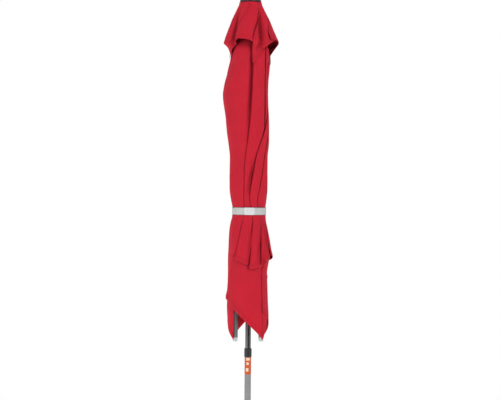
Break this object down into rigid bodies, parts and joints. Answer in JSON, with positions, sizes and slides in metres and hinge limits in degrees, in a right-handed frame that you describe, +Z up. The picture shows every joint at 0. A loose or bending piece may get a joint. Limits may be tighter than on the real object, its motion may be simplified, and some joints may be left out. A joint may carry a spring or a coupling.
{
  "type": "patio umbrella with base",
  "caption": "Square push-up patio parasol on a telescoping mast in a round weighted stand, closed and tied with a strap.",
  "frame": {"origin": "on the floor under the middle of the stand, on the mast's axis", "axes": "+Z up along the mast, -Y the front, +X the right-hand side seen from the front"},
  "size_m": [0.45, 0.45, 2.363],
  "materials": {
    "stand_shell": "textured dark grey polymer shell",
    "ballast": "cast concrete",
    "black_rubber": "matte",
    "dark_steel": "satin powder coat",
    "bright_steel": "zinc plated",
    "black_plastic": "moulded",
    "collar_plastic": "moulded, satin",
    "grey_tube": "matte grey paint",
    "orange_label": "printed film",
    "polished_tube": "bright drawn tube",
    "cap_plastic": "moulded, satin",
    "button_steel": "zinc plated",
    "strap_webbing": "woven webbing",
    "white_badge": "rounded tab",
    "rib_steel": "satin grey powder coat",
    "grey_cap": "moulded",
    "red_cloth": "woven polyester canopy cloth"
  },
  "bodies": {
    "base": {"base_shell": "stand_shell", "base_ballast": "ballast", "base_feet": "black_rubber", "base_socket": "dark_steel", "base_bolts": "bright_steel", "base_sleeve": "black_plastic"},
    "knob": {"clamp_knob": "black_plastic"},
    "lower_mast": {"lower_pole": "grey_tube", "pole_foot_plug": "black_plastic", "pole_collar": "collar_plastic", "height_label": "orange_label"},
    "collar_screw": {"collar_screw": "black_plastic"},
    "upper_mast": {"upper_pole": "polished_tube", "guide_bush": "black_plastic", "hub": "black_plastic", "hub_pins": "bright_steel", "crown_cap": "cap_plastic", "crown_screw": "bright_steel"},
    "runner": {"runner": "black_plastic", "button_spring": "bright_steel"},
    "release_button": {"release_button": "button_steel"},
    "rib_front_left": {"rib_front_left": "rib_steel", "rib_end_front_left": "grey_cap", "bracket_front_left": "black_plastic"},
    "rib_front_right": {"rib_front_right": "rib_steel", "rib_end_front_right": "grey_cap", "bracket_front_right": "black_plastic", "strap": "strap_webbing", "strap_badge": "white_badge"},
    "rib_rear_right": {"rib_rear_right": "rib_steel", "rib_end_rear_right": "grey_cap", "bracket_rear_right": "black_plastic"},
    "rib_rear_left": {"rib_rear_left": "rib_steel", "rib_end_rear_left": "grey_cap", "bracket_rear_left": "black_plastic"},
    "strut_front_left": {"strut_front_left": "rib_steel"},
    "strut_front_right": {"strut_front_right": "rib_steel"},
    "strut_rear_right": {"strut_rear_right": "rib_steel"},
    "strut_rear_left": {"strut_rear_left": "rib_steel"},
    "front_fold": {"front_panel_lead": "red_cloth", "front_hood": "red_cloth"},
    "right_fold": {"right_panel_lead": "red_cloth", "right_hood": "red_cloth"},
    "rear_fold": {"rear_panel_lead": "red_cloth", "rear_hood": "red_cloth"},
    "left_fold": {"left_panel_lead": "red_cloth", "left_hood": "red_cloth"},
    "front_end": {"front_panel_trail": "red_cloth"},
    "right_end": {"right_panel_trail": "red_cloth"},
    "rear_end": {"rear_panel_trail": "red_cloth"},
    "left_end": {"left_panel_trail": "red_cloth"}
  },
  "joints": [
    {"name": "knob_turn", "type": "hinge", "parent": "base", "child": "knob", "pos_m": [0.03, 0, 0.3], "axis": [1, 0, 0], "continuous": true},
    {"name": "mast_turn", "type": "hinge", "parent": "base", "child": "lower_mast", "pos_m": [0, 0, 0.3], "axis": [0, 0, 1], "continuous": true},
    {"name": "collar_screw_turn", "type": "hinge", "parent": "lower_mast", "child": "collar_screw", "pos_m": [0, -0.0145, 0.973], "axis": [0, -1, 0], "continuous": true},
    {"name": "height_slide", "type": "slide", "parent": "lower_mast", "child": "upper_mast", "axis": [0, 0, 1], "range_m": [-0.15, 0]},
    {"name": "runner_slide", "type": "slide", "parent": "upper_mast", "child": "runner", "axis": [0, 0, 1], "range_m": [0, 0.63479]},
    {"name": "button_press", "type": "slide", "parent": "runner", "child": "release_button", "axis": [0, -1, 0], "range_m": [0, 0.002], "stiffness_N_per_m": 600, "deforming": ["button_spring"]},
    {"name": "rib_front_left_fold", "type": "hinge", "parent": "upper_mast", "child": "rib_front_left", "pos_m": [-0.01768, -0.01768, 2.324], "axis": [-0.7071, 0.7071, 0], "range_deg": [0, 70.05]},
    {"name": "rib_front_right_fold", "type": "hinge", "parent": "upper_mast", "child": "rib_front_right", "pos_m": [0.01768, -0.01768, 2.324], "axis": [-0.7071, -0.7071, 0], "range_deg": [0, 70.05], "deforming": ["strap", "strap_badge"]},
    {"name": "rib_rear_right_fold", "type": "hinge", "parent": "upper_mast", "child": "rib_rear_right", "pos_m": [0.01768, 0.01768, 2.324], "axis": [0.7071, -0.7071, 0], "range_deg": [0, 70.05]},
    {"name": "rib_rear_left_fold", "type": "hinge", "parent": "upper_mast", "child": "rib_rear_left", "pos_m": [-0.01768, 0.01768, 2.324], "axis": [0.7071, 0.7071, 0], "range_deg": [0, 70.05]},
    {"name": "strut_front_left_fold", "type": "hinge", "parent": "rib_front_left", "child": "strut_front_left", "pos_m": [-0.02203, -0.02203, 1.8039], "axis": [-0.7071, 0.7071, 0], "range_deg": [-130.46, 0]},
    {"name": "strut_front_right_fold", "type": "hinge", "parent": "rib_front_right", "child": "strut_front_right", "pos_m": [0.02203, -0.02203, 1.8039], "axis": [-0.7071, -0.7071, 0], "range_deg": [-130.46, 0]},
    {"name": "strut_rear_right_fold", "type": "hinge", "parent": "rib_rear_right", "child": "strut_rear_right", "pos_m": [0.02203, 0.02203, 1.8039], "axis": [0.7071, -0.7071, 0], "range_deg": [-130.46, 0]},
    {"name": "strut_rear_left_fold", "type": "hinge", "parent": "rib_rear_left", "child": "strut_rear_left", "pos_m": [-0.02203, 0.02203, 1.8039], "axis": [0.7071, 0.7071, 0], "range_deg": [-130.46, 0]},
    {"name": "front_fold_spread", "type": "hinge", "parent": "rib_front_right", "child": "front_fold", "pos_m": [0.01227, -0.00248, 2.3342], "axis": [-0.2834, 0.7962, 0.5345], "range_deg": [0, 50.1], "deforming": ["front_panel_lead", "front_hood"]},
    {"name": "front_end_spread", "type": "hinge", "parent": "front_fold", "child": "front_end", "pos_m": [-0.01227, -0.00248, 2.3342], "axis": [0.2834, 0.7962, 0.5345], "range_deg": [0, 50.1], "deforming": ["front_panel_trail"]},
    {"name": "right_fold_spread", "type": "hinge", "parent": "rib_rear_right", "child": "right_fold", "pos_m": [0.00248, 0.01227, 2.3342], "axis": [-0.7962, -0.2834, 0.5345], "range_deg": [0, 50.1], "deforming": ["right_panel_lead", "right_hood"]},
    {"name": "right_end_spread", "type": "hinge", "parent": "right_fold", "child": "right_end", "pos_m": [0.00248, -0.01227, 2.3342], "axis": [-0.7962, 0.2834, 0.5345], "range_deg": [0, 50.1], "deforming": ["right_panel_trail"]},
    {"name": "rear_fold_spread", "type": "hinge", "parent": "rib_rear_left", "child": "rear_fold", "pos_m": [-0.01227, 0.00248, 2.3342], "axis": [0.2834, -0.7962, 0.5345], "range_deg": [0, 50.1], "deforming": ["rear_panel_lead", "rear_hood"]},
    {"name": "rear_end_spread", "type": "hinge", "parent": "rear_fold", "child": "rear_end", "pos_m": [0.01227, 0.00248, 2.3342], "axis": [-0.2834, -0.7962, 0.5345], "range_deg": [0, 50.1], "deforming": ["rear_panel_trail"]},
    {"name": "left_fold_spread", "type": "hinge", "parent": "rib_front_left", "child": "left_fold", "pos_m": [-0.00248, -0.01227, 2.3342], "axis": [0.7962, 0.2834, 0.5345], "range_deg": [0, 50.1], "deforming": ["left_panel_lead", "left_hood"]},
    {"name": "left_end_spread", "type": "hinge", "parent": "left_fold", "child": "left_end", "pos_m": [-0.00248, 0.01227, 2.3342], "axis": [0.7962, -0.2834, 0.5345], "range_deg": [0, 50.1], "deforming": ["left_panel_trail"]}
  ],
  "couplings": [
    {"joint": "rib_front_left_fold", "follows": "runner_slide", "rad_per_m": 1.9246},
    {"joint": "rib_front_right_fold", "follows": "runner_slide", "rad_per_m": 1.9246},
    {"joint": "rib_rear_right_fold", "follows": "runner_slide", "rad_per_m": 1.9246},
    {"joint": "rib_rear_left_fold", "follows": "runner_slide", "rad_per_m": 1.9246},
    {"joint": "strut_front_left_fold", "follows": "runner_slide", "rad_per_m": -3.5846},
    {"joint": "strut_front_right_fold", "follows": "runner_slide", "rad_per_m": -3.5846},
    {"joint": "strut_rear_right_fold", "follows": "runner_slide", "rad_per_m": -3.5846},
    {"joint": "strut_rear_left_fold", "follows": "runner_slide", "rad_per_m": -3.5846},
    {"joint": "front_fold_spread", "follows": "runner_slide", "rad_per_m": 1.3758},
    {"joint": "front_end_spread", "follows": "runner_slide", "rad_per_m": 1.3758},
    {"joint": "right_fold_spread", "follows": "runner_slide", "rad_per_m": 1.3758},
    {"joint": "right_end_spread", "follows": "runner_slide", "rad_per_m": 1.3758},
    {"joint": "rear_fold_spread", "follows": "runner_slide", "rad_per_m": 1.3758},
    {"joint": "rear_end_spread", "follows": "runner_slide", "rad_per_m": 1.3758},
    {"joint": "left_fold_spread", "follows": "runner_slide", "rad_per_m": 1.3758},
    {"joint": "left_end_spread", "follows": "runner_slide", "rad_per_m": 1.3758}
  ]
}
